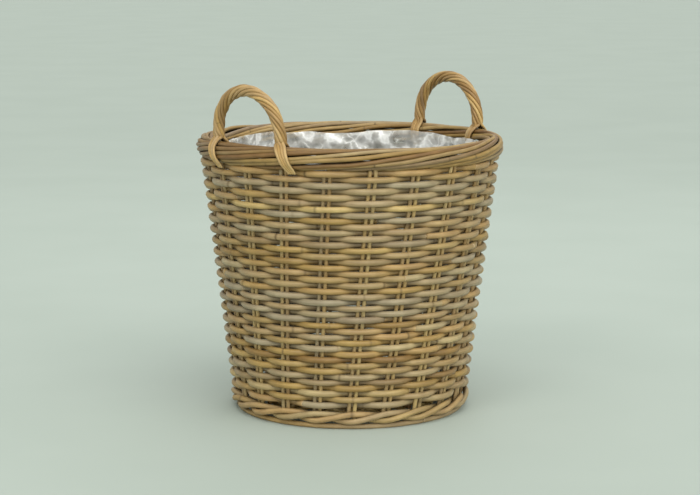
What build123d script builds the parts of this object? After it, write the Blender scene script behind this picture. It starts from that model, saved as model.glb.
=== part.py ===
from build123d import *
import os
from math import asin, atan2, cos, degrees, pi, radians, sin, tan

# Round wicker log basket woven from rattan cane, with two twisted rope handles and a loose film liner.
# Units are millimetres. +Z is up, -Y is the front, and the origin is the centre of the foot on the floor.
# Azimuth 0 is the front of the basket, and azimuth grows towards +X.

# Stakes: upright rods in pairs, leaning to the right. The right one turns over at the top into the border,
# and the left one is cut off under it.
STAKE_PAIRS = 21
SPACING = 2 * pi / STAKE_PAIRS
STAKE_DIAMETER = 5.2
PAIR_HALF_SPREAD = 3.8
STAKE_FOOT_Z = 8.2
STAKE_FOOT_RADIUS = 163.8
STAKE_FOOT_AZIMUTH = radians(0.3)
STAKE_LEAN = radians(8.4)
STAKE_BEND = 4.5

# Border: an oval rope of turned-down stakes that wind nearly once round it on their way along half the rim.
BORDER_RADIUS = 211.5
BORDER_Z = 388.4
BORDER_HALF_WIDTH = 11.0
BORDER_HALF_HEIGHT = 12.0
BORDER_LAY = 12 * SPACING
BORDER_STEP = radians(15)
BORDER_END = radians(250)
BORDER_BEND = 60.0
CUT_ROD_Z = 372.4

# Siding: one long spiral of cane, over one stake pair and under the next, joined every second turn.
# Its rows are level, and step up to the next row at the back, so it ends flush under the border all round.
WEAVER_CANES = 21
TURNS_PER_CANE = 2
SIDING_ROWS = 41
WEAVER_DIAMETER = 7.6
ROW_START_Z = 34.9
ROW_PITCH = 8.365
SPIRAL_START_PAIR = 10
CLIMB_SPACINGS = 4
WEAVER_OUTER_BEND = 32.0
WEAVER_INNER_BEND = 90.0
WEAVE_GAP = 0.9
BUTT_FROM = 0.10
BUTT_TO = 0.14

# Foot: a sanded hoop that stands on the floor, and a band of three strands, each over two pairs, under one.
HOOP_RADIUS = 165.0
HOOP_THICKNESS = 7.5
HOOP_CENTRE_Z = 3.4
WALE_STRANDS = 3
WALE_DIAMETER = 5.8
WALE_Z = 20.3
WALE_RISE = 7.0
WALE_BEND = 14.0
WALE_GAP = 3.0

# Base: crossed sticks that fan out to one spoke per stake pair, bound and woven with a flat spiral.
BASE_Z = 22.0
STICK_DIAMETER = 5.5
STICK_PITCH = 6.2
STICK_END_RADIUS = 151.2
CROSS_HALF_LENGTH = 20.0
FAN_RADIUS = 50.0
STICK_BEND = 30.0
BASE_CANES = 3
BASE_TURNS_PER_CANE = 5
BINDING_TURNS = 2
BASE_CANE_DIAMETER = 4.8
BASE_CANE_BEND = 5.0
BASE_GAP = 0.5
BASE_START_RADIUS = 46.0
BASE_PITCH = 6.6
BASE_BUTT_FROM = 0.46
BASE_BUTT_TO = 0.54

# Handles: four strands twisted into a rope, which part at each foot to clasp the border from both sides.
HANDLE_AZIMUTHS = {"left": radians(-44.2), "right": radians(131.6)}
HANDLE_LEANS = {"left": 0.10, "right": 0.0}
HANDLE_PLANE = 201.0
HANDLE_HALF_WIDTH = 63.0
HANDLE_ARCH_Z = 417.7
HANDLE_ROPE_Z = 410.0
HANDLE_STRANDS = 4
HANDLE_STRAND_DIAMETER = 6.4
HANDLE_TWIST_RADIUS = 5.4
HANDLE_TWISTS = 2
STEPS_PER_TWIST = 20
HANDLE_BEND = 20.0
CLASP_HALF_WIDTH = 18.7
CLASP_HALF_HEIGHT = 19.7
CLASP_END_TUCK = 1.2
CLASP_SLANT = 12.0
CLASP_SPREAD = 4.4
CLASP_END_Z = 364.0

# Liner: a thin film bag, standing loose inside the weave.
LINER_THICKNESS = 0.8
LINER_FLOOR_Z = 34.0
LINER_FLOOR_RADIUS = 148.0
LINER_RIM_Z = 390.0
LINER_RIM_RADIUS = 188.5

BORDER_BOTTOM_Z = BORDER_Z - BORDER_HALF_HEIGHT


def polar(radius, azimuth, z):
    return (radius * sin(azimuth), -radius * cos(azimuth), z)


def along(start, end, share):
    return tuple(a + (b - a) * share for a, b in zip(start, end))


def corner_radii(points, wanted):
    """The wanted bend at each corner, or the widest that the runs beside it leave room for."""
    radii = []
    for before, corner, after in zip(points, points[1:], points[2:]):
        run_in = Vector(*corner) - Vector(*before)
        run_out = Vector(*after) - Vector(*corner)
        half_turn = radians(run_in.get_angle(run_out)) / 2
        widest = 0.45 * min(run_in.length, run_out.length) / tan(half_turn)
        radii.append(min(wanted, widest))
    return radii


def round_rod(path, diameter):
    section = Plane(origin=path @ 0, z_dir=path % 0) * Circle(diameter / 2)
    return sweep(section, path=path)


def cane(points, diameter, bend):
    """A round cane that follows the points, with its corners rounded to the bend radius."""
    return round_rod(FilletPolyline(*points, radius=corner_radii(points, bend)).wire(), diameter)


def butted(points, end_share, start_share):
    """The points of a cane that shares its first and last runs with the canes it butts against."""
    start = along(points[0], points[1], start_share)
    end = along(points[-2], points[-1], end_share)
    return [start, *points[1:-1], end]


def overshoot(bend, half_turn):
    """How far a corner lies outside the bend that rounds it."""
    return bend * (1 / cos(half_turn) - 1)


def stake_foot(pair, offset=0.0):
    azimuth = STAKE_FOOT_AZIMUTH + SPACING * pair + offset / STAKE_FOOT_RADIUS
    return polar(STAKE_FOOT_RADIUS, azimuth, STAKE_FOOT_Z)


def stake_top(pair, offset=0.0):
    azimuth = STAKE_FOOT_AZIMUTH + SPACING * pair + STAKE_LEAN + offset / BORDER_RADIUS
    return polar(BORDER_RADIUS, azimuth, BORDER_BOTTOM_Z)


def stake_place(pair, z):
    """Radius and azimuth of the middle of a stake pair at one height."""
    share = (z - STAKE_FOOT_Z) / (BORDER_BOTTOM_Z - STAKE_FOOT_Z)
    x, y, _ = along(stake_foot(pair), stake_top(pair), share)
    return (x * x + y * y) ** 0.5, atan2(x, -y)


def border_point(azimuth, phase):
    """A point on the border's oval section: phase 0 is the outside, and a quarter turn is the top."""
    radius = BORDER_RADIUS + BORDER_HALF_WIDTH * cos(phase)
    return polar(radius, azimuth, BORDER_Z + BORDER_HALF_HEIGHT * sin(phase))


def border_run(start_azimuth, start_phase):
    """The part of a stake that winds round the border as it runs along the rim."""
    points = []
    phase = start_phase + BORDER_STEP
    while phase < BORDER_END + BORDER_STEP / 2:
        azimuth = start_azimuth + (phase - start_phase) / (2 * pi) * BORDER_LAY
        points.append(border_point(azimuth, phase))
        phase += BORDER_STEP
    return points


def stake_pair(pair):
    """Two rods that rise together; the right one goes on into the border."""
    top_azimuth = STAKE_FOOT_AZIMUTH + SPACING * pair + STAKE_LEAN
    right_azimuth = top_azimuth + PAIR_HALF_SPREAD / BORDER_RADIUS
    right = [stake_foot(pair, PAIR_HALF_SPREAD), stake_top(pair, PAIR_HALF_SPREAD)]
    right += border_run(right_azimuth, -pi / 2)
    cut_share = (CUT_ROD_Z - STAKE_FOOT_Z) / (BORDER_BOTTOM_Z - STAKE_FOOT_Z)
    foot = stake_foot(pair, -PAIR_HALF_SPREAD)
    cut = along(foot, stake_top(pair, -PAIR_HALF_SPREAD), cut_share)
    return [round_rod(Edge.make_line(foot, cut), STAKE_DIAMETER), bent_stake(right)]


def bent_stake(points):
    """A rod with a sharp bend where it turns into the border and wide ones after that."""
    tight = corner_radii(points, STAKE_BEND)[:1]
    wide = corner_radii(points, BORDER_BEND)[1:]
    return round_rod(FilletPolyline(*points, radius=tight + wide).wire(), STAKE_DIAMETER)


def weave_offsets(stake_distance, clear):
    """How far the spiral's corners lie outside and inside the stakes, so its bends just clear them."""
    outer = inner = clear
    for _ in range(12):
        slope = atan2(outer + inner, stake_distance)
        outer = clear + overshoot(WEAVER_OUTER_BEND, slope + SPACING / 2)
        inner = clear + overshoot(WEAVER_INNER_BEND, slope - SPACING / 2)
    return outer, inner


def row_z(crossing):
    """Height of the spiral where it crosses a stake pair, counted from where it starts."""
    turn, place = divmod(crossing, STAKE_PAIRS)
    climb = max(0, place - STAKE_PAIRS + CLIMB_SPACINGS) / CLIMB_SPACINGS
    return ROW_START_Z + ROW_PITCH * (turn + climb)


def weaver_cane(number):
    """Two turns of the siding, with both ends hidden behind a stake pair; the last cane has only one."""
    clear = (STAKE_DIAMETER + WEAVER_DIAMETER) / 2 + WEAVE_GAP
    crossings = TURNS_PER_CANE * STAKE_PAIRS
    first = number * crossings - 1
    top = SIDING_ROWS * STAKE_PAIRS - CLIMB_SPACINGS
    points = []
    bends = []
    for crossing in range(first, min(first + crossings + 2, top + 1)):
        z = row_z(crossing)
        radius, azimuth = stake_place((SPIRAL_START_PAIR + crossing) % STAKE_PAIRS, z)
        outer, inner = weave_offsets(radius * SPACING, clear)
        outside = crossing % 2 == 0
        points.append(polar(radius + (outer if outside else -inner), azimuth, z))
        bends.append(WEAVER_OUTER_BEND if outside else WEAVER_INNER_BEND)
    points = butted(points, BUTT_FROM, BUTT_TO)
    widest = corner_radii(points, WEAVER_INNER_BEND)
    radii = [min(pair) for pair in zip(widest, bends[1:-1])]
    return round_rod(FilletPolyline(*points, radius=radii).wire(), WEAVER_DIAMETER)


def foot_hoop():
    """A round hoop sanded flat underneath, so the basket has a level ring to stand on."""
    disc = Pos(HOOP_RADIUS, HOOP_CENTRE_Z) * Circle(HOOP_THICKNESS / 2)
    above_floor = Pos(HOOP_RADIUS, HOOP_THICKNESS / 2) * Rectangle(2 * HOOP_THICKNESS, HOOP_THICKNESS)
    return revolve(Plane.XZ * (disc & above_floor), axis=Axis.Z)


def foot_wale(strand):
    """One strand of the foot band: low over one stake pair, high over the next, then inside a third."""
    clear = (STAKE_DIAMETER + WALE_DIAMETER) / 2 + WALE_GAP
    steps = [(-clear, 0.0), (clear, -WALE_RISE), (clear, WALE_RISE)]
    points = []
    for step in range(STAKE_PAIRS + 2):
        offset, rise = steps[step % WALE_STRANDS]
        z = WALE_Z + rise
        radius, azimuth = stake_place(strand + step, z)
        points.append(polar(radius + offset, azimuth, z))
    return cane(butted(points, BUTT_FROM, BUTT_TO), WALE_DIAMETER, WALE_BEND)


def spoke_azimuth(spoke):
    return STAKE_FOOT_AZIMUTH + SPACING * spoke


def half_stick(spoke, slot, arm_azimuth, layer):
    """One end of a base stick, from the rim in to its place in the central cross."""
    azimuth = spoke_azimuth(spoke)
    across = slot * STICK_PITCH
    x = CROSS_HALF_LENGTH * sin(arm_azimuth) + across * cos(arm_azimuth)
    y = -CROSS_HALF_LENGTH * cos(arm_azimuth) + across * sin(arm_azimuth)
    cross_z = BASE_Z + layer * (STICK_DIAMETER + BASE_GAP) / 2
    return [polar(STICK_END_RADIUS, azimuth, BASE_Z), polar(FAN_RADIUS, azimuth, BASE_Z), (x, y, cross_z)]


def base_sticks_lower():
    """Five sticks that run front to back under the others."""
    sticks = []
    for slot in range(-2, 3):
        near = half_stick(slot, slot, 0.0, -1)
        far = half_stick(10 - slot, -slot, pi, -1)
        sticks.append(cane(near + far[::-1], STICK_DIAMETER, STICK_BEND))
    return sticks


def base_sticks_upper():
    """Five sticks that run from side to side over the others, and a half stick for the odd spoke."""
    sticks = []
    for slot in range(-2, 3):
        right = half_stick(5 + slot, slot, pi / 2, 1)
        left = half_stick(16 - slot, -slot, -pi / 2, 1)
        sticks.append(cane(right + left[::-1], STICK_DIAMETER, STICK_BEND))
    odd = spoke_azimuth(13)
    length = STICK_END_RADIUS - FAN_RADIUS
    middle = polar((STICK_END_RADIUS + FAN_RADIUS) / 2, odd, BASE_Z)
    outward = polar(1, odd, 0)
    sticks.append(Plane(origin=middle, z_dir=outward) * Cylinder(STICK_DIAMETER / 2, length))
    return sticks


def base_side(crossing):
    """+1 where the base spiral passes over a spoke and -1 where it passes under."""
    spoke = crossing % STAKE_PAIRS
    if crossing < BINDING_TURNS * STAKE_PAIRS:
        on_lower_stick = spoke <= 2 or spoke >= 19 or 8 <= spoke <= 12
        return 1 if on_lower_stick else -1
    return 1 if crossing % 2 == 0 else -1


def base_cane(number):
    """Five turns of the flat spiral; the first two bind the cross in fours, the rest weave each spoke."""
    reach = (STICK_DIAMETER + BASE_CANE_DIAMETER) / 2 + BASE_GAP
    crossings = BASE_TURNS_PER_CANE * STAKE_PAIRS
    first = number * crossings
    points = []
    for crossing in range(first, first + crossings + 2):
        radius = BASE_START_RADIUS + BASE_PITCH * crossing / STAKE_PAIRS
        rise = reach / (1 - (2 * reach / (radius * SPACING)) ** 2) ** 0.5
        z = BASE_Z + base_side(crossing) * rise
        points.append(polar(radius, spoke_azimuth(crossing), z))
    return cane(butted(points, BASE_BUTT_FROM, BASE_BUTT_TO), BASE_CANE_DIAMETER, BASE_CANE_BEND)


def handle_frame(azimuth):
    """Directions of a handle: along the rim, and outwards from the basket."""
    rim = Vector(cos(azimuth), sin(azimuth), 0)
    outward = Vector(sin(azimuth), -cos(azimuth), 0)
    return rim, outward


def rope_centre(distance):
    """Position along the rim, height and outward normal of the rope's centre line, by distance along it."""
    leg = HANDLE_ARCH_Z - HANDLE_ROPE_Z
    arch = pi * HANDLE_HALF_WIDTH
    if distance < leg:
        return -HANDLE_HALF_WIDTH, HANDLE_ROPE_Z + distance, pi
    if distance > leg + arch:
        return HANDLE_HALF_WIDTH, HANDLE_ARCH_Z - (distance - leg - arch), 0.0
    turn = pi - (distance - leg) / HANDLE_HALF_WIDTH
    return HANDLE_HALF_WIDTH * cos(turn), HANDLE_ARCH_Z + HANDLE_HALF_WIDTH * sin(turn), turn


def twisted_points(azimuth, lean, start_phase):
    """One strand winding left-handed round the rope's centre line, which leans outwards as it rises."""
    rim, outward = handle_frame(azimuth)
    length = 2 * (HANDLE_ARCH_Z - HANDLE_ROPE_Z) + pi * HANDLE_HALF_WIDTH
    steps = HANDLE_TWISTS * STEPS_PER_TWIST
    points = []
    for step in range(steps + 1):
        along_rim, z, normal = rope_centre(length * step / steps)
        phase = start_phase - 2 * pi * step / STEPS_PER_TWIST
        side = HANDLE_TWIST_RADIUS * cos(phase)
        out = HANDLE_TWIST_RADIUS * sin(phase)
        plane = HANDLE_PLANE + lean * (z - HANDLE_ROPE_Z)
        centre = rim * (along_rim + side * cos(normal)) + outward * (plane + out)
        points.append((centre.X, centre.Y, z + side * sin(normal)))
    return points


def clasp_points(foot_azimuth, side, spread):
    """Where a strand leaves the rope and lies down one face of the border; side is +1 on the outside."""
    slant = CLASP_SLANT if side > 0 else 0.0
    points = []
    for angle, share in ((60, 0.2), (22, 0.5), (-18, 0.8)):
        radius = BORDER_RADIUS + side * CLASP_HALF_WIDTH * cos(radians(angle))
        z = BORDER_Z + CLASP_HALF_HEIGHT * sin(radians(angle))
        drift = spread * (1 + share) + slant * share
        points.append(polar(radius, foot_azimuth + drift / BORDER_RADIUS, z))
    end_radius = BORDER_RADIUS + side * (CLASP_HALF_WIDTH - CLASP_END_TUCK)
    drift = 2 * spread + slant
    points.append(polar(end_radius, foot_azimuth + drift / BORDER_RADIUS, CLASP_END_Z))
    return points


def handle_strand(azimuth, lean, strand):
    """One strand of a handle, from the end of its clasp at one foot to the end at the other."""
    start_phase = pi / 4 + strand * pi / 2
    side = 1 if sin(start_phase) > 0 else -1
    half_angle = asin(HANDLE_HALF_WIDTH / (HANDLE_PLANE ** 2 + HANDLE_HALF_WIDTH ** 2) ** 0.5)
    spread = CLASP_SPREAD if cos(start_phase) > 0 else -CLASP_SPREAD
    first = clasp_points(azimuth - half_angle, side, -spread)
    last = clasp_points(azimuth + half_angle, side, spread)
    points = first[::-1] + twisted_points(azimuth, lean, start_phase) + last
    return cane(points, HANDLE_STRAND_DIAMETER, HANDLE_BEND)


def liner():
    """A thin open-topped bag, slightly wider at the top."""
    outer = [(0, LINER_FLOOR_Z), (LINER_FLOOR_RADIUS, LINER_FLOOR_Z), (LINER_RIM_RADIUS, LINER_RIM_Z)]
    inner = [
        (LINER_RIM_RADIUS - LINER_THICKNESS, LINER_RIM_Z),
        (LINER_FLOOR_RADIUS - LINER_THICKNESS, LINER_FLOOR_Z + LINER_THICKNESS),
        (0, LINER_FLOOR_Z + LINER_THICKNESS),
    ]
    profile = make_face(Plane.XZ * Polyline(*outer, *inner, close=True))
    return revolve(profile, axis=Axis.Z)


def all_parts():
    parts = {}
    for pair in range(STAKE_PAIRS):
        parts[f"stake_pair_{pair + 1:02d}"] = Compound(stake_pair(pair))
    for number in range(WEAVER_CANES):
        parts[f"weaver_cane_{number + 1:02d}"] = weaver_cane(number)
    parts["foot_hoop"] = foot_hoop()
    for strand in range(WALE_STRANDS):
        parts[f"foot_wale_strand_{strand + 1}"] = foot_wale(strand)
    parts["base_sticks_lower"] = Compound(base_sticks_lower())
    parts["base_sticks_upper"] = Compound(base_sticks_upper())
    for number in range(BASE_CANES):
        parts[f"base_cane_{number + 1}"] = base_cane(number)
    for name, azimuth in HANDLE_AZIMUTHS.items():
        for strand in range(HANDLE_STRANDS):
            lean = HANDLE_LEANS[name]
            parts[f"handle_{name}_strand_{strand + 1}"] = handle_strand(azimuth, lean, strand)
    parts["film_liner"] = liner()
    return parts


def main():
    os.makedirs("parts", exist_ok=True)
    for name, shape in all_parts().items():
        export_step(shape, f"parts/{name}.step")


main()
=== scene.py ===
import math
import random

import bpy
import numpy as np
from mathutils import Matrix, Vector, noise


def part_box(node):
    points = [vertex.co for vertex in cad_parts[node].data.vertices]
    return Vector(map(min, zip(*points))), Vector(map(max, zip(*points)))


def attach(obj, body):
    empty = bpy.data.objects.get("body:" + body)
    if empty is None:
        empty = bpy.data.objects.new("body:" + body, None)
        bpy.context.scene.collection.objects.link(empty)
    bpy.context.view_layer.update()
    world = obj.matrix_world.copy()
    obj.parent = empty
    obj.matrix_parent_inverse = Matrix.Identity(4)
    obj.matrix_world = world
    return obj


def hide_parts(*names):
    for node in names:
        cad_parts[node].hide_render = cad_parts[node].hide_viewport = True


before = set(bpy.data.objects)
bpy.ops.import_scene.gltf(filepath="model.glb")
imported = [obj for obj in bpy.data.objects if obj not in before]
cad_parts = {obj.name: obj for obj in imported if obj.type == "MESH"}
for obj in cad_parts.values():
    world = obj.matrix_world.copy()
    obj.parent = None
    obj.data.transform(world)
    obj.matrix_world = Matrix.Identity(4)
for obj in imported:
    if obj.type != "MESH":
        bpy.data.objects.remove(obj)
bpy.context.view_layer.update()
random.seed(7)

# The basket: metres, +Z up, -Y the front. Azimuth 0 is the front and grows towards +X.
STAKE_PAIRS = 21
SPACING = 2 * math.pi / STAKE_PAIRS
STAKE_FOOT_RADIUS = 0.1638
STAKE_FOOT_AZIMUTH = math.radians(0.3)
STAKE_FOOT_Z = 0.0082
STAKE_LEAN = math.radians(8.4)
STAKE_RADIUS = 0.0028
PAIR_HALF_SPREAD = 0.0041

BORDER_RADIUS = 0.2115
BORDER_Z = 0.3884
BORDER_HALF_WIDTH = 0.0112
BORDER_HALF_HEIGHT = 0.0122
BORDER_STRAND_RADIUS = 0.0032
BORDER_LAY = 12 * SPACING
BORDER_END = math.radians(250)
BORDER_BOTTOM_Z = 0.3764

WEAVER_CANES = 21
TURNS_PER_CANE = 2
SIDING_ROWS = 41
ROW_START_Z = 0.0349
ROW_PITCH = 0.008365
SPIRAL_START_PAIR = 10
CLIMB_SPACINGS = 4
# Places along a cane are counted in crossings, one for each stake pair that it passes.
FIRST_CROSSING = -0.86
CANE_END_GAP = 0.04
PIECE_END_GAP = 0.02
LAST_CUT = 0.9
WEAVER_RADIUS = 0.0046
WEAVE_DEPTH = 0.0055

WALE_Z = 0.0172
WALE_RISE = 0.0052
WALE_RADIUS = 0.0042
WALE_DEPTH = 0.0072
HOOP_RADIUS = 0.165
HOOP_THICKNESS = 0.0074

# Each handle's azimuth, and how far it leans outward for its rise.
HANDLES = {"left": (math.radians(-44.2), 0.10), "right": (math.radians(131.6), 0.0)}
HANDLE_STRANDS = 4
HANDLE_PLANE = 0.201
HANDLE_HALF_WIDTH = 0.063
HANDLE_ARCH_Z = 0.4158
HANDLE_ROPE_Z = 0.410
HANDLE_TWISTS = 2
HANDLE_CANE_RADIUS = 0.0025
HANDLE_TWIST_RADIUS = 0.0062
CLASP_SLANT = 0.018
CLASP_HALF_WIDTH = 0.0172
CLASP_HALF_HEIGHT = 0.0184
CLASP_END_Z = 0.3690
CLASP_OUTER_TUCK = 0.0085
CLASP_INNER_TUCK = 0.0095
CLASP_NEAR_SPREAD = 0.0023
CLASP_FAR_SPREAD = 0.0068

# The cut bag is a tube as long round as the rim; its height takes in the way to the middle of its floor.
LINER_FLOOR_RADIUS = 0.1475


def polar(radius, azimuth, z):
    return np.array((radius * math.sin(azimuth), -radius * math.cos(azimuth), z))


def stake_foot(pair):
    return polar(STAKE_FOOT_RADIUS, STAKE_FOOT_AZIMUTH + SPACING * pair, STAKE_FOOT_Z)


def stake_top(pair):
    return polar(BORDER_RADIUS, STAKE_FOOT_AZIMUTH + SPACING * pair + STAKE_LEAN, BORDER_BOTTOM_Z)


def stake_place(pair, z):
    """Radius and azimuth of a stake pair at one height; pair may fall between two stakes."""
    share = (z - STAKE_FOOT_Z) / (BORDER_BOTTOM_Z - STAKE_FOOT_Z)
    low, high = stake_foot(0), stake_top(0)
    x, y, _ = low + (high - low) * share
    return math.hypot(x, y), math.atan2(x, -y) + SPACING * pair


def wander(position, seed, size):
    """A smooth random value between about -size and size."""
    return size * 1.6 * noise.noise(Vector((position, seed * 7.31, 2.7)))


# Canes: round strands swept along a path, with the facts that the cane materials read stored on them.

KNUCKLE_SWELLING = 1.05
SHADE_SOFTNESS = 0.7
CUT_BEVEL = 0.22
TONE_WANDER = 0.16
GREY_WANDER = 0.35


def smooth(points, steps):
    """A Catmull-Rom curve through the points, with that many steps for each span."""
    points = [np.asarray(p, float) for p in points]
    ends = [2 * points[0] - points[1]] + points + [2 * points[-1] - points[-2]]
    curve = []
    for i in range(1, len(ends) - 2):
        a, b, c, d = ends[i - 1: i + 3]
        for step in range(steps):
            t = step / steps
            curve.append(0.5 * (2 * b + (c - a) * t + (2 * a - 5 * b + 4 * c - d) * t ** 2
                                + (3 * b - a - 3 * c + d) * t ** 3))
    curve.append(points[-1])
    return np.array(curve)


class Strand:
    """One cane: its centre line, radius and look.

    tone places its colour from brown, 0, to pale, 1, and grey says how weathered it is. cores are the
    points that it lies against, one beside each of its own. The sides turned to them get painted shade,
    more of it the higher shaded is, and depth paints shade on it all round. ring_gap is the distance
    between knuckles.
    """

    def __init__(self, points, radius, tone=None, grey=None, cores=None, depth=0.0, shaded=0.32,
                 ring_gap=0.3):
        self.points = np.asarray(points, float)
        count = len(self.points)
        self.seed = random.random() * 100
        if tone is None:
            tone = random.gauss(0.5, 0.26)
        self.tone = np.broadcast_to(tone, count)
        self.grey = random.random() ** 1.6 if grey is None else grey
        self.cores = None if cores is None else np.asarray(cores, float)
        self.depth = np.broadcast_to(depth, count)
        self.shaded = np.broadcast_to(shaded, count)
        steps = np.linalg.norm(np.diff(self.points, axis=0), axis=1)
        self.distance = np.concatenate(([0], np.cumsum(steps)))
        self.radius = np.array(np.broadcast_to(radius, count), float)
        self.ring = np.zeros(count)
        self.add_rings(ring_gap)

    def add_rings(self, gap):
        """The knuckles of the cane: a slight swelling with a dark line round it."""
        place = random.uniform(0, gap)
        while place < self.distance[-1]:
            near = int(np.argmin(abs(self.distance - place)))
            self.ring[near] = random.uniform(0.3, 1.0)
            self.radius[near] *= KNUCKLE_SWELLING
            place += gap * random.uniform(0.6, 1.5)

    def crevice_shade(self, index, normals):
        """Painted shade on each side of the cane at one of its points: darker where it lies on others, and
        all round by its depth.
        """
        shade = np.full(len(normals), float(self.depth[index]))
        if self.cores is not None:
            outward = self.points[index] - self.cores[index]
            facing = normals @ (outward / np.linalg.norm(outward))
            shade = np.maximum(shade, np.clip((self.shaded[index] - facing) / SHADE_SOFTNESS, 0, 1))
        return shade


def cane_rings(strand, sides):
    """Rings of vertices along a strand, each with its normals; narrower end rings round off the cuts."""
    tangents = np.gradient(strand.points, axis=0)
    tangents /= np.linalg.norm(tangents, axis=1)[:, None]
    normal = np.cross(tangents[0], (0.3, 0.2, 1.0))
    angles = np.linspace(0, 2 * math.pi, sides, endpoint=False)
    cosines, sines = np.cos(angles)[:, None], np.sin(angles)[:, None]
    rings = []
    for centre, tangent, radius in zip(strand.points, tangents, strand.radius):
        normal = normal - tangent * normal.dot(tangent)
        normal /= np.linalg.norm(normal)
        normals = cosines * normal + sines * np.cross(tangent, normal)
        rings.append((centre + radius * normals, normals))
    ends = []
    for index, side in ((0, -1), (-1, 1)):
        radius = strand.radius[index] * (1 - CUT_BEVEL)
        centre = strand.points[index] + side * tangents[index] * strand.radius[index] * CUT_BEVEL
        ends.append((centre + radius * rings[index][1], rings[index][1]))
    return [ends[0], *rings, ends[1]], cosines, sines


def cane_object(name, strands, material, sides=10):
    """One mesh of one or more strands that stands for the CAD node of the same name."""
    verts, faces, fibre = [], [], []
    marks = {"tone": [], "grey": [], "ring": [], "cut": [], "crevice_shade": []}
    for strand in strands:
        rings, cosines, sines = cane_rings(strand, sides)
        base = len(verts) * sides
        final = len(rings) - 1
        for index, (circle, normals) in enumerate(rings):
            place = min(max(index - 1, 0), final - 2)
            along = strand.distance[place] + strand.seed
            size = strand.radius[place]
            verts.append(circle)
            fibre.append(np.hstack((np.full((sides, 1), along), cosines * size, sines * size)))
            marks["tone"].append(np.full(sides, strand.tone[place] + wander(along * 3, 5.0, TONE_WANDER)))
            marks["grey"].append(np.full(sides, strand.grey + wander(along * 5, 9.0, GREY_WANDER)))
            marks["ring"].append(np.full(sides, strand.ring[place] if 0 < index < final else 0.0))
            marks["cut"].append(np.full(sides, 1.0 if index in (0, final) else 0.0))
            marks["crevice_shade"].append(strand.crevice_shade(place, normals))
        for index in range(final):
            low = base + index * sides
            for side in range(sides):
                following = (side + 1) % sides
                faces.append((low + side, low + following, low + sides + following, low + sides + side))
        last = base + final * sides
        faces.append(tuple(base + side for side in reversed(range(sides))))
        faces.append(tuple(last + side for side in range(sides)))
    mesh = bpy.data.meshes.new(name)
    mesh.from_pydata(np.concatenate(verts), [], faces)
    mesh.polygons.foreach_set("use_smooth", [True] * len(mesh.polygons))
    for label, values in marks.items():
        layer = mesh.attributes.new(label, "FLOAT", "POINT")
        layer.data.foreach_set("value", np.concatenate(values).astype(np.float32))
    layer = mesh.attributes.new("fibre", "FLOAT_VECTOR", "POINT")
    layer.data.foreach_set("vector", np.concatenate(fibre).astype(np.float32).ravel())
    return add_piece(name, mesh, material, name)


def add_piece(name, mesh, material, replaced):
    """Put a mesh in the scene in place of one CAD node."""
    mesh.materials.append(material)
    piece = bpy.data.objects.new(name, mesh)
    bpy.context.scene.collection.objects.link(piece)
    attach(piece, "root")
    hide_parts(replaced)
    return piece


# Materials.

BROWN = (0.20, 0.105, 0.030)
TAN = (0.40, 0.27, 0.085)
PALE_TAN = (0.60, 0.46, 0.20)
PINK_TAN = (0.45, 0.30, 0.125)
GREY_CANE = (0.37, 0.325, 0.225)
CANE_TONES = [(0.0, BROWN), (0.38, TAN), (0.58, PINK_TAN), (0.72, TAN), (1.0, PALE_TAN)]
STAKE_TONES = [(0.0, BROWN), (0.45, TAN), (0.75, PINK_TAN), (1.0, PALE_TAN)]
BASE_TONES = [(0.3, BROWN), (0.5, TAN), (0.7, PALE_TAN)]
HANDLE_TONES = [(0.0, (0.28, 0.16, 0.05)), (0.5, (0.52, 0.34, 0.12)), (1.0, (0.72, 0.54, 0.24))]
HANDLE_GREY = (0.5, 0.4, 0.27)
KNUCKLE_COLOUR = (0.11, 0.065, 0.02)
CUT_COLOUR = (0.66, 0.5, 0.3)
# The dark colour of the painted shade where canes lie against one another.
PAINTED_SHADE_COLOUR = (0.035, 0.018, 0.006)
WHITE = (1, 1, 1)
BLACK = (0, 0, 0)

# Noise scales, in cells to the metre.
BLOTCH_SCALE = 45.0
FIBRE_SCALE = 1400.0
HAZE_SCALE = 26.0
WRINKLE_SCALE = 75.0
CREASE_SCALE = 30.0
EVEN = (1, 1, 1)


def new_material(name):
    material = bpy.data.materials.new(name)
    material.use_nodes = True
    nodes = material.node_tree.nodes
    return material, nodes, material.node_tree.links, nodes["Principled BSDF"]


def ramp(nodes, stops):
    """A colour ramp node; stops are pairs of a position and a colour."""
    node = nodes.new("ShaderNodeValToRGB")
    elements = node.color_ramp.elements
    while len(elements) < len(stops):
        elements.new(0.5)
    for element, (position, color) in zip(elements, stops):
        element.position = position
        element.color = (*color, 1.0)
    return node


def level(value):
    """A grey for a ramp that carries a single value."""
    return (value, value, value)


def attribute(nodes, name):
    """The node that reads a fact stored on the mesh."""
    node = nodes.new("ShaderNodeAttribute")
    node.attribute_name = name
    return node


def scaled(nodes, links, value, factor):
    """A value times a fixed factor, kept from 0 to 1."""
    node = nodes.new("ShaderNodeMath")
    node.operation = "MULTIPLY"
    node.use_clamp = True
    links.new(value, node.inputs[0])
    node.inputs[1].default_value = factor
    return node.outputs[0]


def bumped(nodes, links, shader, height, strength, distance):
    """Give the surface the relief of a height pattern."""
    bump = nodes.new("ShaderNodeBump")
    bump.inputs["Strength"].default_value = strength
    bump.inputs["Distance"].default_value = distance
    links.new(height, bump.inputs["Height"])
    links.new(bump.outputs["Normal"], shader.inputs["Normal"])


def mixed(nodes, links, factor, first, second, blend="MIX"):
    """A colour mix; first and second are sockets or colours, and factor is a socket or a number."""
    node = nodes.new("ShaderNodeMix")
    node.data_type = "RGBA"
    node.blend_type = blend
    for socket, value in ((node.inputs[0], factor), (node.inputs[6], first), (node.inputs[7], second)):
        if isinstance(value, bpy.types.NodeSocket):
            links.new(value, socket)
        elif isinstance(value, tuple):
            socket.default_value = (*value, 1.0)
        else:
            socket.default_value = value
    return node.outputs[2]


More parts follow.
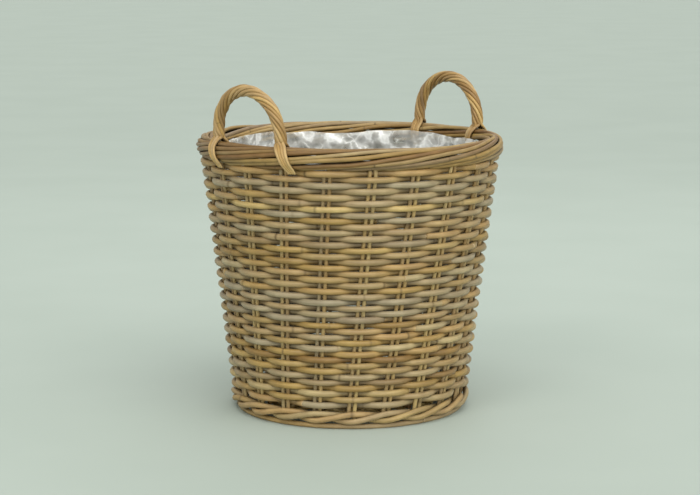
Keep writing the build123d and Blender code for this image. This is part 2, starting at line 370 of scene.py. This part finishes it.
def noise_node(nodes, links, vector, scale, stretch, detail):
    """A noise pattern; stretch squeezes it along each axis."""
    mapping = nodes.new("ShaderNodeMapping")
    mapping.inputs["Scale"].default_value = stretch
    links.new(vector, mapping.inputs["Vector"])
    texture = nodes.new("ShaderNodeTexNoise")
    texture.inputs["Scale"].default_value = scale
    texture.inputs["Detail"].default_value = detail
    links.new(mapping.outputs["Vector"], texture.inputs["Vector"])
    return texture.outputs["Fac"]


def cane_material(name, tones, grey, roughness, on_cad=False):
    """Weathered cane: its own tone, blotches, long fibres, knuckles, pale cut ends, and painted shade where
    it lies against other canes and deep in the weave.

    On a CAD node, which has no facts stored on it, the tone wanders and only blotches and grain show.
    """
    material, nodes, links, shader = new_material(name)
    if on_cad:
        vector = nodes.new("ShaderNodeTexCoord").outputs["Object"]
        tone = noise_node(nodes, links, vector, 30.0, EVEN, 1.0)
        stretch = EVEN
    else:
        vector = attribute(nodes, "fibre").outputs["Vector"]
        tone = attribute(nodes, "tone").outputs["Fac"]
        stretch = (0.03, 1, 1)
    colour = ramp(nodes, tones)
    links.new(tone, colour.inputs["Fac"])
    blotch = noise_node(nodes, links, vector, BLOTCH_SCALE, EVEN, 4.0)
    blotches = ramp(nodes, [(0.42, BLACK), (0.66, WHITE)])
    links.new(blotch, blotches.inputs["Fac"])
    result = colour.outputs["Color"]
    if not on_cad:
        weathered = scaled(nodes, links, attribute(nodes, "grey").outputs["Fac"], 0.85)
        result = mixed(nodes, links, weathered, result, grey)
    shade = ramp(nodes, [(0.0, (0.72, 0.66, 0.58)), (1.0, (1.08, 1.06, 1.02))])
    links.new(blotches.outputs["Color"], shade.inputs["Fac"])
    result = mixed(nodes, links, 0.55, result, shade.outputs["Color"], "MULTIPLY")
    fibres = noise_node(nodes, links, vector, FIBRE_SCALE, stretch, 3.0)
    streaks = ramp(nodes, [(0.3, (0.6, 0.52, 0.42)), (0.7, (1.12, 1.1, 1.06))])
    links.new(fibres, streaks.inputs["Fac"])
    result = mixed(nodes, links, 0.55, result, streaks.outputs["Color"], "MULTIPLY")
    if not on_cad:
        result = mixed(nodes, links, attribute(nodes, "ring").outputs["Fac"], result, KNUCKLE_COLOUR)
        result = mixed(nodes, links, attribute(nodes, "cut").outputs["Fac"], result, CUT_COLOUR)
        # Painted shade: darkens the sides that lie against other canes and the stretches inside the weave.
        painted_shade = scaled(nodes, links, attribute(nodes, "crevice_shade").outputs["Fac"], 0.85)
        result = mixed(nodes, links, painted_shade, result, PAINTED_SHADE_COLOUR)
    links.new(result, shader.inputs["Base Color"])
    gloss = nodes.new("ShaderNodeMapRange")
    gloss.inputs["To Min"].default_value = roughness - 0.08
    gloss.inputs["To Max"].default_value = roughness + 0.2
    links.new(fibres, gloss.inputs["Value"])
    links.new(gloss.outputs["Result"], shader.inputs["Roughness"])
    bumped(nodes, links, shader, fibres, 0.35, 0.0004)
    return material


def nearness_to_rim(nodes, links, vector):
    """0 deep in the basket, rising to 1 at the rim of the film."""
    height = nodes.new("ShaderNodeSeparateXYZ")
    links.new(vector, height.inputs["Vector"])
    nearness = nodes.new("ShaderNodeMapRange")
    nearness.inputs["From Min"].default_value = 0.30
    nearness.inputs["From Max"].default_value = 0.355
    links.new(height.outputs["Z"], nearness.inputs["Value"])
    return nearness.outputs["Result"]


def crease_lines(nodes, links, vector, haze):
    """Broken lines along the edges of uneven cells, as sharp folds leave in film; the film is painted white
    along them, partly whitened folds and partly painted highlight.
    """
    warped = nodes.new("ShaderNodeVectorMath")
    warped.operation = "MULTIPLY_ADD"
    links.new(haze, warped.inputs[0])
    warped.inputs[1].default_value = (0.06, 0.06, 0.06)
    links.new(vector, warped.inputs[2])
    cells = nodes.new("ShaderNodeTexVoronoi")
    cells.feature = "DISTANCE_TO_EDGE"
    cells.inputs["Scale"].default_value = CREASE_SCALE
    links.new(warped.outputs["Vector"], cells.inputs["Vector"])
    edge = ramp(nodes, [(0.0, level(0.85)), (0.06, level(0.3)), (0.2, BLACK)])
    links.new(cells.outputs["Distance"], edge.inputs["Fac"])
    breaks = ramp(nodes, [(0.44, BLACK), (0.58, WHITE)])
    links.new(noise_node(nodes, links, vector, 40.0, EVEN, 2.0), breaks.inputs["Fac"])
    return mixed(nodes, links, 1.0, edge.outputs["Color"], breaks.outputs["Color"], "MULTIPLY")


def film_material():
    """Clear crumpled film: hazy patches and white creases near the rim, partly the film's own haze and
    whitened folds and partly painted highlight, and darker deep in the basket with painted shade.
    """
    material, nodes, links, shader = new_material("clear_film")
    vector = nodes.new("ShaderNodeTexCoord").outputs["Object"]
    haze = noise_node(nodes, links, vector, HAZE_SCALE, (1, 1, 1.3), 3.0)
    near_rim = nearness_to_rim(nodes, links, vector)
    crease_and_highlight = crease_lines(nodes, links, vector, haze)

    # Painted highlight: the haze pattern and the creases turn the film white near the rim, partly its own
    # haze and whitened folds.
    clear = ramp(nodes, [(0.35, (0.66, 0.67, 0.62)), (0.55, (0.96, 0.97, 0.95))])
    links.new(haze, clear.inputs["Fac"])
    creased_and_highlighted = mixed(nodes, links, crease_and_highlight, clear.outputs["Color"], (1.0, 1.0, 0.98))
    # Painted shade: deep in the basket the film is tinted dark.
    tint = mixed(nodes, links, near_rim, (0.24, 0.23, 0.20), creased_and_highlighted)
    links.new(tint, shader.inputs["Base Color"])

    # Near the rim the white patches and creases are also made more opaque, partly painted highlight; deep
    # in the basket the film stays partly opaque, which keeps its painted shade.
    covers = ((0.38, 0.38), (0.50, 0.52), (0.56, 0.92), (0.64, 0.58))
    haze_and_highlight_patches = ramp(nodes, [(position, level(cover)) for position, cover in covers])
    links.new(haze, haze_and_highlight_patches.inputs["Fac"])
    top_cover = mixed(nodes, links, crease_and_highlight, haze_and_highlight_patches.outputs["Color"], WHITE)
    deep_cover = ramp(nodes, [(0.0, level(0.22)), (1.0, level(0.50))])
    links.new(crease_and_highlight, deep_cover.inputs["Fac"])
    cover = mixed(nodes, links, near_rim, deep_cover.outputs["Color"], top_cover)
    links.new(cover, shader.inputs["Alpha"])

    wrinkles = noise_node(nodes, links, vector, WRINKLE_SCALE, (1, 1, 0.5), 3.0)
    bumped(nodes, links, shader, wrinkles, 0.6, 0.004)
    shader.inputs["Roughness"].default_value = 0.12
    shader.inputs["Specular IOR Level"].default_value = 1.0
    shader.inputs["Coat Weight"].default_value = 1.0
    shader.inputs["Coat Roughness"].default_value = 0.04
    return material


def stage_material():
    """Pale green-grey paper with a faint grain."""
    material, nodes, links, shader = new_material("stage_paper")
    vector = nodes.new("ShaderNodeTexCoord").outputs["Object"]
    grain = noise_node(nodes, links, vector, 3.0, EVEN, 2.0)
    tint = ramp(nodes, [(0.35, (0.415, 0.475, 0.425)), (0.65, (0.43, 0.49, 0.44))])
    links.new(grain, tint.inputs["Fac"])
    links.new(tint.outputs["Color"], shader.inputs["Base Color"])
    shader.inputs["Roughness"].default_value = 0.75
    return material


weaver_material = cane_material("weaver_cane", CANE_TONES, GREY_CANE, 0.42)
stake_material = cane_material("stake_cane", STAKE_TONES, GREY_CANE, 0.46)
foot_material = cane_material("foot_cane", CANE_TONES, GREY_CANE, 0.5)
handle_material = cane_material("handle_cane", HANDLE_TONES, HANDLE_GREY, 0.4)
base_material = cane_material("base_cane", BASE_TONES, GREY_CANE, 0.5, on_cad=True)


# Siding.


def row_z(crossing):
    """Height of the spiral: its rows are level, and step up to the next row at the back."""
    turn, place = divmod(crossing, STAKE_PAIRS)
    climb = max(0.0, place - STAKE_PAIRS + CLIMB_SPACINGS) / CLIMB_SPACINGS
    return ROW_START_Z + ROW_PITCH * (turn + climb)


def weaver_points(first, last):
    """A cane over a stretch of crossings, outside even stakes and inside odd ones.

    Returns its path, the points inside the wall that it faces away from, and how far it lies in the shade.
    """
    steps = 20
    points, cores, depths = [], [], []
    seed = random.random() * 50
    for step in range(int(round((last - first) * steps)) + 1):
        crossing = first + step / steps
        z = row_z(crossing) + wander(crossing * 0.35, seed, 0.0005)
        radius, azimuth = stake_place(SPIRAL_START_PAIR + crossing, z)
        wave = math.cos(math.pi * crossing)
        offset = WEAVE_DEPTH * wave * (1.3 - 0.3 * wave * wave) + wander(crossing * 0.5, seed + 3, 0.0003)
        points.append(polar(radius + offset, azimuth, z))
        cores.append(polar(radius - 0.03, azimuth, z))
        # Painted shade where the cane passes inside the stakes.
        depths.append(0.5 * min(1.0, max(0.0, -0.2 - offset / WEAVE_DEPTH)))
    return points, cores, depths


def weaver_cane(number):
    """Two turns of the spiral, pieced from a few lengths of cane; the last one stops under the border."""
    crossings = TURNS_PER_CANE * STAKE_PAIRS
    first = number * crossings + FIRST_CROSSING
    last = min(first + crossings - CANE_END_GAP, SIDING_ROWS * STAKE_PAIRS - CLIMB_SPACINGS - LAST_CUT)
    joins = [first, last]
    for share in (0.3, 0.7):
        joins.append(first + crossings * share + random.uniform(-6, 6))
    joins.sort()
    strands = []
    for start, end in zip(joins, joins[1:]):
        radius = WEAVER_RADIUS * random.uniform(0.93, 1.06)
        points, cores, depths = weaver_points(start, end - PIECE_END_GAP)
        taper = np.linspace(random.uniform(0.94, 1.04), random.uniform(0.94, 1.04), len(points))
        strands.append(Strand(points, radius * taper, cores=cores, depth=depths, shaded=0.12))
    name = f"weaver_cane_{number + 1:02d}"
    return cane_object(name, strands, weaver_material)


# Stakes and border.


def border_point(azimuth, phase, swell):
    """A point on the border's oval section; phase 0 is its outer side and grows upwards."""
    radius = BORDER_RADIUS + BORDER_HALF_WIDTH * swell * math.cos(phase)
    return polar(radius, azimuth, BORDER_Z + BORDER_HALF_HEIGHT * swell * math.sin(phase))


def border_run(start_azimuth, start_phase, end_phase):
    """The path of a strand round the border, and the middle of the border beside it."""
    points, cores = [], []
    seed = random.random() * 50
    steps = 24
    for step in range(steps + 1):
        turn = (end_phase - start_phase) * step / steps
        azimuth = start_azimuth + turn / (2 * math.pi) * BORDER_LAY
        swell = 1 + wander(step * 0.4, seed, 0.10)
        phase = start_phase + turn + wander(step * 0.3, seed + 9, 0.20)
        points.append(border_point(azimuth, phase, swell))
        cores.append(polar(BORDER_RADIUS, azimuth, BORDER_Z))
    return points, cores


def border_rod(low, high, start_azimuth):
    """The right rod of a pair, from its foot to its end inside the border."""
    shares = (0, 0.2, 0.4, 0.6, 0.8, 0.97)
    rise = [low + (high - low) * share for share in shares]
    end_phase = BORDER_END + random.uniform(-0.3, 0.15)
    run, cores = border_run(start_azimuth, -math.pi / 2, end_phase)
    steps = 12
    points = smooth(rise + run, steps)
    middles = smooth([point * (0.8, 0.8, 1) for point in rise] + cores, steps)
    in_border = np.clip((np.arange(len(points)) / steps - len(shares) + 1.2) / 1.5, 0, 1)
    radius = STAKE_RADIUS + (BORDER_STRAND_RADIUS * random.uniform(0.9, 1.08) - STAKE_RADIUS) * in_border
    tone = random.gauss(0.86, 0.12) * (1 - in_border) + random.gauss(0.30, 0.24) * in_border
    # shaded sets how much painted shade the rod takes where it lies in the border's grooves.
    return Strand(points, radius, tone, 0.45 * random.random() ** 2, middles, shaded=0.34 * in_border)


def stake_pair(pair):
    """Two rods that rise through the weave: the right one goes on into the border, the left one stops."""
    foot_azimuth = STAKE_FOOT_AZIMUTH + SPACING * pair
    top_azimuth = foot_azimuth + STAKE_LEAN
    strands = []
    for side in (1, -1):
        offset = side * PAIR_HALF_SPREAD
        low = stake_foot(pair) + offset * np.array((math.cos(foot_azimuth), math.sin(foot_azimuth), 0))
        high = stake_top(pair) + offset * np.array((math.cos(top_azimuth), math.sin(top_azimuth), 0))
        if side > 0:
            strands.append(border_rod(low, high, top_azimuth + PAIR_HALF_SPREAD / BORDER_RADIUS))
            continue
        points = smooth([low + (high - low) * share * 0.992 for share in (0, 0.25, 0.5, 0.75, 1)], 12)
        radius = STAKE_RADIUS * random.uniform(0.95, 1.05)
        tone = random.gauss(0.86, 0.12)
        strands.append(Strand(points, radius, tone, cores=points * (0.8, 0.8, 1), shaded=0.0))
    name = f"stake_pair_{pair + 1:02d}"
    return cane_object(name, strands, stake_material)


# Foot.


def foot_hoop():
    """The hoop under the foot, flat where it meets the floor."""
    points = []
    steps = 240
    for step in range(steps + 1):
        azimuth = 0.7 + 2 * math.pi * 0.997 * step / steps
        radius = HOOP_RADIUS + wander(azimuth * 3, 4.0, 0.0006)
        points.append(polar(radius, azimuth, HOOP_THICKNESS / 2 + wander(azimuth * 2, 8.0, 0.0003)))
    cane = Strand(points, HOOP_THICKNESS / 2, 0.6, 0.3)
    piece = cane_object("foot_hoop", [cane], foot_material, sides=16)
    for vertex in piece.data.vertices:
        vertex.co.z = max(vertex.co.z, 0.0)
    return piece


def foot_wale(strand):
    """One strand of the band: behind one stake pair, then low and high in front of the next two."""
    steps = [(-WALE_DEPTH, 0.0), (WALE_DEPTH, -WALE_RISE), (WALE_DEPTH, WALE_RISE)]
    points = []
    for step in range(STAKE_PAIRS + 1):
        offset, rise = steps[step % 3]
        z = WALE_Z + rise + random.uniform(-0.0006, 0.0006)
        radius, azimuth = stake_place(strand + step, z)
        points.append(polar(radius + offset, azimuth, z))
    curve = smooth(points, 14)[2:-2]
    name = f"foot_wale_strand_{strand + 1}"
    tone = (0.75, 0.5, 0.62)[strand]
    cores = curve * (0.85, 0.85, 1)
    piece = Strand(curve, WALE_RADIUS, tone, 0.35, cores)
    return cane_object(name, [piece], foot_material, sides=12)


# Handles.


def handle_frame(azimuth):
    """The directions along the rim and outward at a handle."""
    rim = np.array((math.cos(azimuth), math.sin(azimuth), 0))
    outward = np.array((math.sin(azimuth), -math.cos(azimuth), 0))
    return rim, outward


def rope_centre(distance):
    """Position along the rim, height, and the direction that faces away from the arch's centre."""
    leg = HANDLE_ARCH_Z - HANDLE_ROPE_Z
    arch = math.pi * HANDLE_HALF_WIDTH
    if distance < leg:
        return -HANDLE_HALF_WIDTH, HANDLE_ROPE_Z + distance, math.pi
    if distance > leg + arch:
        return HANDLE_HALF_WIDTH, HANDLE_ARCH_Z - (distance - leg - arch), 0.0
    turn = math.pi - (distance - leg) / HANDLE_HALF_WIDTH
    return HANDLE_HALF_WIDTH * math.cos(turn), HANDLE_ARCH_Z + HANDLE_HALF_WIDTH * math.sin(turn), turn


def rope_points(azimuth, lean, start_phase):
    """The path of one cane round the rope from foot to foot, and the middle of the rope beside it."""
    rim, outward = handle_frame(azimuth)
    length = 2 * (HANDLE_ARCH_Z - HANDLE_ROPE_Z) + math.pi * HANDLE_HALF_WIDTH
    steps = 48
    seed = random.random() * 50
    points, cores = [], []
    for step in range(steps + 1):
        along, z, normal = rope_centre(length * step / steps)
        phase = start_phase - 2 * math.pi * HANDLE_TWISTS * step / steps
        reach = HANDLE_TWIST_RADIUS * (1 + wander(step * 0.2, seed, 0.08))
        side = reach * math.cos(phase)
        plane = HANDLE_PLANE + lean * (z - HANDLE_ROPE_Z)
        centre = rim * (along + side * math.cos(normal)) + outward * (plane + reach * math.sin(phase))
        points.append(np.array((centre[0], centre[1], z + side * math.sin(normal))))
        core = rim * along + outward * plane
        cores.append(np.array((core[0], core[1], z)))
    return points, cores


def clasp_points(foot_azimuth, side, spread, slant):
    """Where a cane leaves the rope and lies down one face of the border; side is +1 on the outside."""
    points, cores = [], []
    for angle, share in ((62, 0.15), (25, 0.45), (-15, 0.75), (-48, 1.0)):
        radius = BORDER_RADIUS + side * CLASP_HALF_WIDTH * math.cos(math.radians(angle))
        z = BORDER_Z + CLASP_HALF_HEIGHT * math.sin(math.radians(angle))
        drift = spread * (1 - 0.3 * share) + slant * share
        azimuth = foot_azimuth + drift / BORDER_RADIUS
        points.append(polar(radius, azimuth, z))
        cores.append(polar(BORDER_RADIUS, azimuth, BORDER_Z))
    tuck = CLASP_OUTER_TUCK if side > 0 else CLASP_INNER_TUCK
    azimuth = foot_azimuth + (0.6 * spread + slant * 1.15) / BORDER_RADIUS
    points.append(polar(BORDER_RADIUS + side * tuck, azimuth, CLASP_END_Z))
    cores.append(polar(BORDER_RADIUS, azimuth, BORDER_Z))
    return points, cores


def handle_strand(side_name, strand):
    """Two thin canes that run side by side round the rope and clasp the border at both feet."""
    azimuth, lean = HANDLES[side_name]
    middle = math.pi / 4 + strand * math.pi / 2
    side = 1 if math.sin(middle) > 0 else -1
    half_angle = math.atan2(HANDLE_HALF_WIDTH, HANDLE_PLANE)
    slant = CLASP_SLANT if side > 0 else 0.0
    strands = []
    for half in (-1, 1):
        phase = middle + half * math.pi / 8
        spread = CLASP_FAR_SPREAD if abs(math.cos(phase)) > 0.7 else CLASP_NEAR_SPREAD
        spread *= math.copysign(1, math.cos(phase))
        first, first_cores = clasp_points(azimuth - half_angle, side, -spread, slant)
        last, last_cores = clasp_points(azimuth + half_angle, side, spread, slant)
        rope, rope_cores = rope_points(azimuth, lean, phase)
        points = smooth(first[::-1] + rope + last, 4)
        cores = smooth(first_cores[::-1] + rope_cores + last_cores, 4)
        ends = np.clip(np.minimum(np.arange(len(points)), np.arange(len(points))[::-1]) / 16, 0, 1)
        radius = HANDLE_CANE_RADIUS * random.uniform(0.92, 1.06) * (0.62 + 0.38 * ends)
        tone = random.gauss(0.45, 0.22) + 0.35 * (1 - ends)
        strands.append(Strand(points, radius, tone, 0.12 * random.random(), cores, ring_gap=0.5))
    name = f"handle_{side_name}_strand_{strand + 1}"
    return cane_object(name, strands, handle_material)


# Liner.


def crumple(place, size):
    """Height of creased facets at a place on the film."""
    distances, _ = noise.voronoi(place * (1 / size))
    return distances[1] - distances[0]


def floor_place(share, azimuth, floor_z):
    """A point on the bag's floor, which lies in low folds; share is 0 at the middle and 1 at the edge."""
    place = Vector(polar(LINER_FLOOR_RADIUS * share, azimuth, floor_z + 0.0006))
    lift = 0.004 * crumple(place, 0.05) + 0.0015 * crumple(place, 0.018)
    return place + Vector((0, 0, lift * min(1, (1 - share) * 6)))


def wall_place(share, azimuth, floor_z, rim_z, rim_radius):
    """A point on the bag's wall, dented and pleated; share is 0 at the floor and 1 at the rim."""
    rim = rim_z + 0.002 * math.sin(azimuth * 5 + 1) + wander(azimuth * 4, 6.0, 0.003)
    z = floor_z + (rim - floor_z) * share
    radius = LINER_FLOOR_RADIUS + (rim_radius - LINER_FLOOR_RADIUS) * share
    place = Vector(polar(radius, azimuth, z))
    dent = 0.008 * crumple(place, 0.045) + 0.003 * crumple(place, 0.017)
    pleat = 0.0016 * math.sin(azimuth * 34 + 6 * noise.noise(place * 9)) * share
    push = (0.0045 - dent + pleat) * min(1, share * 8)
    return Vector(polar(min(radius + push, rim_radius + 0.002), azimuth, z))


def film_liner():
    """A crumpled film bag that lines the weave and is caught under the border."""
    box_low, box_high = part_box("film_liner")
    around, up, floor_rings = 300, 96, 30
    verts = []
    for ring in range(floor_rings + up + 1):
        for step in range(around):
            azimuth = 2 * math.pi * step / around
            if ring <= floor_rings:
                share = max(ring, 0.4) / floor_rings
                verts.append(floor_place(share, azimuth, box_low.z))
            else:
                share = (ring - floor_rings) / up
                verts.append(wall_place(share, azimuth, box_low.z, box_high.z, box_high.x))
    faces = []
    for ring in range(floor_rings + up):
        for step in range(around):
            following = (step + 1) % around
            low = ring * around
            faces.append((low + step, low + following, low + around + following, low + around + step))
    faces.append(tuple(reversed(range(around))))
    mesh = bpy.data.meshes.new("film_liner")
    mesh.from_pydata(verts, [], faces)
    mesh.polygons.foreach_set("use_smooth", [True] * len(mesh.polygons))
    bag = add_piece("film_liner_bag", mesh, film_material(), "film_liner")
    return bag


# Stage, light and camera.

CAMERA_PLACE = (0, -3.0, 0.701)
CAMERA_PITCH = math.radians(8.83)
LENS = 105.4
SENSOR_WIDTH = 36.0
FLOOR_HALF_SIZE = 40.0


def stage():
    """A plain floor that reaches to the horizon."""
    mesh = bpy.data.meshes.new("floor")
    size = FLOOR_HALF_SIZE
    corners = [(-size, -size, 0), (size, -size, 0), (size, size, 0), (-size, size, 0)]
    mesh.from_pydata(corners, [], [(0, 1, 2, 3)])
    mesh.materials.append(stage_material())
    floor = bpy.data.objects.new("floor", mesh)
    bpy.context.scene.collection.objects.link(floor)


def area_light(name, place, target, size, power, colour):
    """A square soft lamp turned to its target."""
    light = bpy.data.lights.new(name, "AREA")
    light.size = size
    light.energy = power
    light.color = colour
    lamp = bpy.data.objects.new(name, light)
    lamp.location = place
    lamp.rotation_mode = "QUATERNION"
    lamp.rotation_quaternion = (Vector(target) - Vector(place)).to_track_quat("-Z", "Y")
    bpy.context.scene.collection.objects.link(lamp)


def soft_sky():
    """Even light from all round, brighter from a wide patch above the front."""
    world = bpy.data.worlds.new("studio")
    world.use_nodes = True
    nodes, links = world.node_tree.nodes, world.node_tree.links
    direction = nodes.new("ShaderNodeTexCoord").outputs["Generated"]
    facing = nodes.new("ShaderNodeVectorMath")
    facing.operation = "DOT_PRODUCT"
    facing.inputs[1].default_value = Vector((0.25, -0.72, 0.66)).normalized()
    links.new(direction, facing.inputs[0])
    patch = ramp(nodes, [(0.0, (0.60, 0.63, 0.61)), (0.62, (0.70, 0.73, 0.71)), (0.95, (2.6, 2.6, 2.5))])
    links.new(facing.outputs["Value"], patch.inputs["Fac"])
    links.new(patch.outputs["Color"], nodes["Background"].inputs["Color"])
    bpy.context.scene.world = world


def lights():
    soft_sky()
    area_light("key", (-1.0, -1.9, 2.3), (0, 0, 0.2), 0.8, 10, (1.0, 0.98, 0.94))
    area_light("back", (0.4, 1.9, 2.2), (0, 0, 0.35), 1.2, 9, WHITE)


def camera():
    """A long lens from the front, a little above the rim."""
    data = bpy.data.cameras.new("camera")
    data.sensor_width = SENSOR_WIDTH
    data.lens = LENS
    eye = bpy.data.objects.new("camera", data)
    eye.location = CAMERA_PLACE
    eye.rotation_euler = (math.pi / 2 - CAMERA_PITCH, 0, 0)
    bpy.context.scene.collection.objects.link(eye)
    bpy.context.scene.camera = eye


for number in range(WEAVER_CANES):
    weaver_cane(number)
for pair in range(STAKE_PAIRS):
    stake_pair(pair)
foot_hoop()
for strand in range(3):
    foot_wale(strand)
for side_name in HANDLES:
    for strand in range(HANDLE_STRANDS):
        handle_strand(side_name, strand)
film_liner()
for node_name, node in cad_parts.items():
    if node_name.startswith("base_"):
        node.data.materials.clear()
        node.data.materials.append(base_material)
stage()
lights()
camera()
bpy.context.scene.view_settings.view_transform = "Standard"
